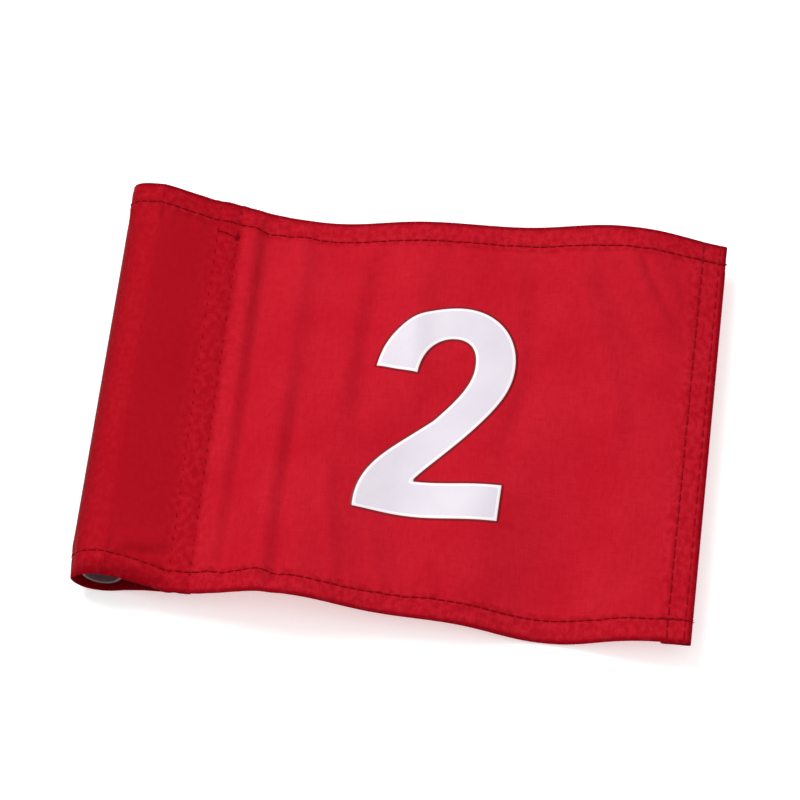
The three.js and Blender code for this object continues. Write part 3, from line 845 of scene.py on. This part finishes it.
def numeral(name, face):
    """The printed film of a numeral. face is 1 for the front and -1 for the back, where it is mirrored."""
    loop = outline_points()
    tangent = np.roll(loop, -1, axis=0) - np.roll(loop, 1, axis=0)
    inward = unit(np.stack([-tangent[:, 1], tangent[:, 0]], -1))
    outer = loop - inward * BORDER
    outer = outer[np.abs(outline_distance(outer, loop) - BORDER) < 0.04]
    rings = [outer, loop]
    for depth in (FILM_EDGE, RIM - FILM_EDGE, RIM + FILM_EDGE):
        ring = loop + inward * depth
        keep = np.abs(outline_distance(ring, loop) - depth) < 0.03
        rings.append(ring[keep & inside_outline(ring, loop)])
    gx, gy = np.meshgrid(np.arange(86, 142, FILM_GRID), np.arange(35, 123, FILM_GRID))
    fill = np.stack([gx.ravel(), gy.ravel()], -1)
    fill = fill[inside_outline(fill, loop)]
    rings.append(fill[outline_distance(fill, loop) > RIM + 0.9])
    points = np.concatenate(rings)
    rim_count, loop_count = len(outer), len(loop)
    edges = [(i, (i + 1) % rim_count) for i in range(rim_count)]
    edges += [(rim_count + i, rim_count + (i + 1) % loop_count) for i in range(loop_count)]
    made = delaunay_2d_cdt([Vector(p) for p in points], edges, [list(range(rim_count))], 1, 1e-6)
    flat = np.array([tuple(v) for v in made[0]])
    faces = np.array([f for f in made[2] if len(f) == 3])
    a, b, c = (flat[faces[:, k]] for k in range(3))
    turn = (b[:, 0] - a[:, 0]) * (c[:, 1] - a[:, 1]) - (b[:, 1] - a[:, 1]) * (c[:, 0] - a[:, 0])
    faces[turn < 0] = faces[turn < 0][:, ::-1]
    distance = outline_distance(flat, loop)
    on_loop = distance < 0.01
    rim = np.where(inside_outline(flat, loop) | on_loop, distance, -distance)
    where = flat.copy()
    if face < 0:
        where[:, 0] = 2 * NUMERAL_CENTRE_X - where[:, 0]
    film = np.where(rim < 0.01, BORDER_FILM, FILM * (0.55 + 0.45 * np.clip(rim / FILM_EDGE, 0, 1)))
    upper, _ = on_cloth(where[:, 0], where[:, 1], face * (PLY / 2 + film))
    lower, _ = on_cloth(where[:, 0], where[:, 1], np.full(len(where), face * (PLY / 2 - FILM_SUNK)))
    total = len(flat)
    directed = {(tri[k], tri[(k + 1) % 3]) for tri in faces for k in range(3)}
    sides = [(j, i, i + total, j + total) for i, j in sorted(directed) if (j, i) not in directed]
    under = [tuple(int(q) + total for q in tri[::-1]) for tri in faces]
    all_faces = [tuple(tri) for tri in faces] + under + sides
    piece = mesh_object(name, place(np.concatenate([upper, lower])), all_faces)
    add_attribute(piece, "rim", np.concatenate([rim, rim]))
    uv = np.stack([(FLAG_LENGTH - where[:, 0]), where[:, 1]], -1) / 100
    add_uv(piece, np.concatenate([uv, uv]))
    smooth_shade(piece)
    return piece


# ---- Tube ----
TUBE_CHAMFER = 0.25
TUBE_SIDES = 96


def tube():
    """The insert tube, turned from its section: radius and place along its axis."""
    low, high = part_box("insert_tube")
    half = (high.y - low.y) / MM / 2
    cut = half - TUBE_CHAMFER
    inner, outer = TUBE_BORE + TUBE_CHAMFER, TUBE_RADIUS - TUBE_CHAMFER
    profile = [
        (TUBE_BORE, cut), (inner, half), (outer, half), (TUBE_RADIUS, cut),
        *[(TUBE_RADIUS, half * k) for k in (0.5, 0.0, -0.5)],
        (TUBE_RADIUS, -cut), (outer, -half), (inner, -half), (TUBE_BORE, -cut),
        *[(TUBE_BORE, half * k) for k in (-0.5, 0.0, 0.5)],
    ]
    centre = ((low + high) / 2 - Vector((X0, Y0, 0))) / MM
    points, faces = [], []
    for k in range(TUBE_SIDES):
        a = 2 * math.pi * k / TUBE_SIDES
        for radius, y in profile:
            points.append((centre.x + radius * math.cos(a), centre.y + y, centre.z + radius * math.sin(a)))
    n = len(profile)
    for k in range(TUBE_SIDES):
        for m in range(n):
            a, b = k * n + m, k * n + (m + 1) % n
            beside = (k + 1) % TUBE_SIDES * n
            c, d = beside + (m + 1) % n, beside + m
            faces.append((d, c, b, a))
    piece = mesh_object("insert_tube_fine", place(points), faces)
    smooth_shade(piece)
    piece.data.set_sharp_from_angle(angle=math.radians(35))
    return piece


# ---- Materials ----
class Nodes:
    """A short way to write a material's node tree."""

    def __init__(self, name):
        self.material = bpy.data.materials.new(name)
        self.material.use_nodes = True
        self.tree = self.material.node_tree
        self.tree.nodes.clear()
        self.output = self.tree.nodes.new("ShaderNodeOutputMaterial")

    def add(self, kind, inputs=None, **settings):
        node = self.tree.nodes.new("ShaderNode" + kind)
        for key, value in settings.items():
            setattr(node, key, value)
        for key, value in (inputs or {}).items():
            if isinstance(value, bpy.types.NodeSocket):
                self.tree.links.new(value, node.inputs[key])
            else:
                node.inputs[key].default_value = value
        return node

    def math(self, operation, a, b=0.0):
        return self.add("Math", {0: a, 1: b}, operation=operation).outputs[0]

    def plus(self, a, b):
        return self.math("ADD", a, b)

    def times(self, a, b):
        return self.math("MULTIPLY", a, b)

    def attribute(self, name):
        return self.add("Attribute", attribute_name=name).outputs[2]

    def uv(self, name):
        return self.add("UVMap", uv_map=name).outputs[0]

    def noise(self, where, scale, detail=2.0):
        """Noise from 0 to 1, stretched where its scale is three numbers."""
        if isinstance(scale, tuple):
            where = self.add("Mapping", {"Vector": where, "Scale": scale}).outputs[0]
            scale = 1.0
        return self.add("TexNoise", {"Vector": where, "Scale": scale, "Detail": detail}).outputs[0]

    def bump(self, strength, distance, height, **more):
        inputs = {"Strength": strength, "Distance": distance, "Height": height, **more}
        return self.add("Bump", inputs).outputs[0]

    def mix(self, share, a, b):
        node = self.add("Mix", data_type="RGBA")
        for socket, value in ((0, share), (6, a), (7, b)):
            if isinstance(value, bpy.types.NodeSocket):
                self.tree.links.new(value, node.inputs[socket])
            else:
                node.inputs[socket].default_value = value
        return node.outputs[2]

    def ramp(self, value, low, high):
        return self.add("MapRange", {0: value, 1: low, 2: high}, clamp=True).outputs[0]

    def finish(self, shader):
        self.tree.links.new(shader.outputs[0], self.output.inputs[0])
        return self.material


def rgb(r, g, b):
    """A linear colour from sRGB numbers up to 255."""
    parts = []
    for c in (r / 255, g / 255, b / 255):
        parts.append(c / 12.92 if c <= 0.04045 else ((c + 0.055) / 1.055) ** 2.4)
    return (*parts, 1.0)


YARN = 0.42 / 100  # yarn pitch in the units of the cloth's UV


def weave(n, uv):
    """Height of a plain weave, 0 in the gaps and 1 on top of a yarn."""
    split = n.add("SeparateXYZ", {0: uv})
    su, sv = (n.math("SINE", n.times(split.outputs[k], math.pi / YARN)) for k in (0, 1))
    warp, weft = n.math("ABSOLUTE", su), n.math("ABSOLUTE", sv)
    over = n.math("GREATER_THAN", n.times(su, sv), 0.0)
    other = n.times(weft, n.math("SUBTRACT", 1.0, over))
    return n.math("POWER", n.plus(n.times(warp, over), other), 0.7)


RED = rgb(185, 24, 40)
PALE_RED = rgb(192, 31, 46)
DOUBLED_SHADE_RED = rgb(163, 14, 27)  # painted shade where the cloth is doubled and lets less light through, and on the sleeve
EDGE_SHADE_RED = rgb(94, 1, 8)  # painted shade on the folded edges, the closed edge, the lip and inside the sleeve
# Painted shade in the puckers' hollows and a painted highlight on their crests.
PUCKER_SHADE_RED = rgb(148, 6, 19)
CREST_HIGHLIGHT_RED = rgb(204, 44, 60)
YARN_RED = rgb(160, 8, 22)
# Painted shade in the gaps between the yarns.
GAP_SHADE_RED = rgb(142, 2, 10)
# The darker red is painted shade in the grooves between the thread's plies.
THREAD_REDS_WITH_SHADE = (rgb(124, 2, 13), rgb(150, 5, 20))
# Painted shade in a thin line round the numeral's edge.
BORDER_SHADE_RED = rgb(138, 3, 14)
PRINT_WHITES = (rgb(212, 204, 214), rgb(219, 212, 221))
# Painted shade in the gaps of the weave under the print.
PRINT_GAP_SHADE = rgb(192, 182, 194)
PRINT_RIM = rgb(236, 233, 236)
# Painted shade and a painted red reflection: the tube is coloured the dim, red-tinged grey it shows in the
# sleeve's shade, with the cloth's red reflected on it.
TUBE_SHADED_GREYS = (rgb(106, 80, 84), rgb(120, 93, 97))
TUBE_SHADED_LINE = rgb(90, 68, 72)


def nylon():
    n = Nodes("red_nylon")
    uv = n.uv("thread_count")
    height = weave(n, uv)
    doubled, fold_and_inside_shade, gather = (n.attribute(name) for name in ("doubled", "fold_and_inside_shade", "gather"))
    broad = n.noise(uv, 4.5)
    slubs, warps = n.noise(uv, (14.0, 260.0, 1.0)), n.noise(uv, (240.0, 12.0, 1.0))
    yarns = n.times(n.plus(slubs, warps), 0.5)
    # Sewing gathers the cloth into small puckers along the hems, the seam and the closed edge. Their
    # hollows get painted shade and their crests a painted highlight.
    puckers = n.noise(uv, (52.0, 38.0, 1.0), 2.5)
    colour = n.mix(n.ramp(broad, 0.3, 0.7), RED, PALE_RED)
    # Painted shade where the cloth is doubled and over the sleeve.
    colour = n.mix(n.times(doubled, 0.6), colour, DOUBLED_SHADE_RED)
    # Painted shade on the folded edges, the closed edge, the lip and inside the sleeve.
    colour = n.mix(n.times(fold_and_inside_shade, 0.85), colour, EDGE_SHADE_RED)
    pucker_shade = n.times(n.ramp(puckers, 0.56, 0.38), n.plus(n.times(gather, 0.3), 0.12))
    colour = n.mix(pucker_shade, colour, PUCKER_SHADE_RED)
    pucker_highlight = n.times(n.ramp(puckers, 0.48, 0.74), n.times(gather, 0.22))
    colour = n.mix(pucker_highlight, colour, CREST_HIGHLIGHT_RED)
    colour = n.mix(n.times(n.ramp(yarns, 0.62, 0.36), 0.32), colour, YARN_RED)
    # Painted shade in the gaps of the weave.
    colour = n.mix(n.times(n.ramp(height, 0.55, 0.0), 0.28), colour, GAP_SHADE_RED)
    rough = n.plus(n.times(n.ramp(yarns, 0.35, 0.65), -0.1), 0.5)
    waves = n.bump(0.7, 0.0006, n.times(puckers, n.plus(n.times(gather, 0.9), 0.1)))
    bump = n.bump(0.35, 0.00006, n.plus(height, n.times(yarns, 1.2)), Normal=waves)
    shader = n.add("BsdfPrincipled", {
        "Base Color": colour, "Roughness": rough, "Normal": bump, "IOR": 1.2, "Specular IOR Level": 0.04,
        "Specular Tint": (1.0, 0.1, 0.14, 1.0),
    })
    return n.finish(shader)


TWIST = 0.55  # length of one turn of the thread's plies


def thread_material():
    n = Nodes("dark_red_thread")
    split = n.add("SeparateXYZ", {0: n.uv("twist")})
    along = n.times(split.outputs[0], 2 * math.pi / TWIST)
    turns = n.plus(along, n.times(split.outputs[1], 2 * math.pi))
    ply = n.ramp(n.math("SINE", turns), -1.0, 1.0)
    shader = n.add("BsdfPrincipled", {
        # Painted shade in the grooves of the twist.
        "Base Color": n.mix(ply, *THREAD_REDS_WITH_SHADE), "Roughness": 0.62, "Normal": n.bump(0.6, 0.00005, ply),
        "Specular IOR Level": 0.2, "Specular Tint": (1.0, 0.2, 0.25, 1.0),
    })
    return n.finish(shader)


def print_material():
    n = Nodes("white_print")
    uv = n.uv("thread_count")
    height = weave(n, uv)
    rim = n.attribute("rim")
    grain = n.noise(uv, 90.0)
    colour = n.mix(n.ramp(n.noise(uv, 6.0, 3.0), 0.3, 0.7), *PRINT_WHITES)
    # Painted shade in the gaps of the weave.
    colour = n.mix(n.times(n.ramp(height, 0.5, 0.0), 0.12), colour, PRINT_GAP_SHADE)
    colour = n.mix(n.ramp(rim, 1.0, 0.8), colour, PRINT_RIM)
    # Painted shade in a thin line round the numeral.
    colour = n.mix(n.ramp(rim, 0.02, -0.06), colour, BORDER_SHADE_RED)
    bump = n.bump(0.18, 0.00005, n.plus(n.times(height, 0.6), grain))
    rough = n.plus(n.times(grain, 0.12), 0.42)
    shader = n.add("BsdfPrincipled", {
        "Base Color": colour, "Roughness": rough, "Normal": bump, "Specular IOR Level": 0.3,
    })
    return n.finish(shader)


def tube_material():
    n = Nodes("tube_plastic")
    where = n.add("TexCoord").outputs["Object"]
    lines = n.noise(where, (900.0, 12.0, 900.0), 3.0)
    # Painted shade and painted red reflection from the sleeve in the tube's colours.
    colour = n.mix(n.ramp(n.noise(where, 140.0), 0.3, 0.7), *TUBE_SHADED_GREYS)
    colour = n.mix(n.times(n.ramp(lines, 0.6, 0.8), 0.4), colour, TUBE_SHADED_LINE)
    rough = n.plus(n.times(lines, 0.2), 0.3)
    shader = n.add("BsdfPrincipled", {
        "Base Color": colour, "Roughness": rough, "Normal": n.bump(0.15, 0.0001, lines),
        "Subsurface Weight": 0.3, "Subsurface Radius": (1.0, 0.7, 0.6), "Subsurface Scale": 0.001,
        "Specular IOR Level": 0.45,
    })
    return n.finish(shader)


def floor_material():
    n = Nodes("pale_floor")
    grain = n.noise(n.add("TexCoord").outputs["Object"], 60.0, 3.0)
    colour = n.mix(n.ramp(grain, 0.3, 0.7), (0.9, 0.9, 0.9, 1), (0.915, 0.915, 0.915, 1))
    # A light table: its own glow keeps the shadows faint.
    shader = n.add("BsdfPrincipled", {
        "Base Color": colour, "Roughness": 0.75, "Specular IOR Level": 0.15,
        "Emission Color": (1.0, 1.0, 1.0, 1.0), "Emission Strength": FLOOR_GLOW,
    })
    return n.finish(shader)


def bend(piece):
    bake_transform(piece)


cloth, flat_length, flat_width = flag_cloth()
rows = sew()
front, back = numeral("numeral_front_print", 1), numeral("numeral_back_print", -1)
pipe = tube()

cloth.data.materials.append(nylon())
thread_finish = thread_material()
for row in rows.values():
    row.data.materials.append(thread_finish)
print_finish = print_material()
for piece in (front, back):
    piece.data.materials.append(print_finish)
    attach(piece, "panel")
pipe.data.materials.append(tube_material())
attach(pipe, "insert")

bend(cloth)
for name, row in rows.items():
    if name.startswith(("fly", "backtack")):
        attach(row, "panel")
    else:
        bend(row)

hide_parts("insert_tube")
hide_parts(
    "sleeve", "sleeve_bottom_hem", "sleeve_top_hem", "panel", "top_hem", "bottom_hem", "fly_hem",
)
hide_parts("numeral_front")
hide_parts("numeral_back")
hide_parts("sleeve_bottom_stitch", "bottom_hem_stitch")
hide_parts("sleeve_top_stitch", "top_hem_stitch")
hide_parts("seam_stitch_inner")
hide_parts("seam_stitch_outer")
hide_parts("seam_tack")
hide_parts("fly_hem_stitch_inner")
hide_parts("fly_hem_stitch_outer")
tack_end = tack_knot()
tack_end.data.materials.append(thread_finish)
bend(tack_end)
rows["seam_tack_knot"] = tack_end
bottom_end, top_end = (float(v) for v in hem_rows(FLAG_LENGTH))
for name, hem_y, turn, node in (
    ("knot_bottom", bottom_end, -1, "thread_tail_bottom"),
    ("knot_top", top_end, 1, "thread_tail_top"),
):
    knot = thread_knot(name, hem_y, turn)
    knot.data.materials.append(thread_finish)
    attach(knot, "panel")
    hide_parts(node)
    rows[name] = knot

# ---- Studio ----
FLOOR_DROP = 0.0002
FLOOR_SIZE = 3.0
FLOOR_GLOW = 0.4
WORLD_STRENGTH = 0.52
LIGHTS = [
    # name, location, size, power
    ("key", (-0.8, 0.67, 1.4), (0.85, 0.85), 21.2),
    ("fill", (0.25, -0.6, 1.25), (1.7, 1.4), 5.2),
]


def add_floor():
    corners = [(FLOOR_SIZE * x, FLOOR_SIZE * y, 0) for x, y in ((-1, -1), (1, -1), (1, 1), (-1, 1))]
    floor = mesh_object("floor", corners, [(0, 1, 2, 3)])
    floor.location.z = -FLOOR_DROP
    floor.data.materials.append(floor_material())


def add_light(name, location, size, power):
    data = bpy.data.lights.new(name, "AREA")
    data.shape = "RECTANGLE"
    data.size, data.size_y = size
    data.energy = power
    light = bpy.data.objects.new(name, data)
    light.location = location
    light.rotation_mode = "QUATERNION"
    light.rotation_quaternion = (-Vector(location)).to_track_quat("-Z", "Y")
    bpy.context.scene.collection.objects.link(light)


def add_studio():
    add_floor()
    for light in LIGHTS:
        add_light(*light)
    world = bpy.data.worlds.new("studio")
    bpy.context.scene.world = world
    world.use_nodes = True
    background = world.node_tree.nodes["Background"]
    background.inputs[0].default_value = (1.0, 1.0, 1.0, 1.0)
    background.inputs[1].default_value = WORLD_STRENGTH
    view = bpy.context.scene.view_settings
    view.view_transform = "Standard"
    view.look = "None"
    view.exposure = 0.0
    view.gamma = 1.0


add_studio()
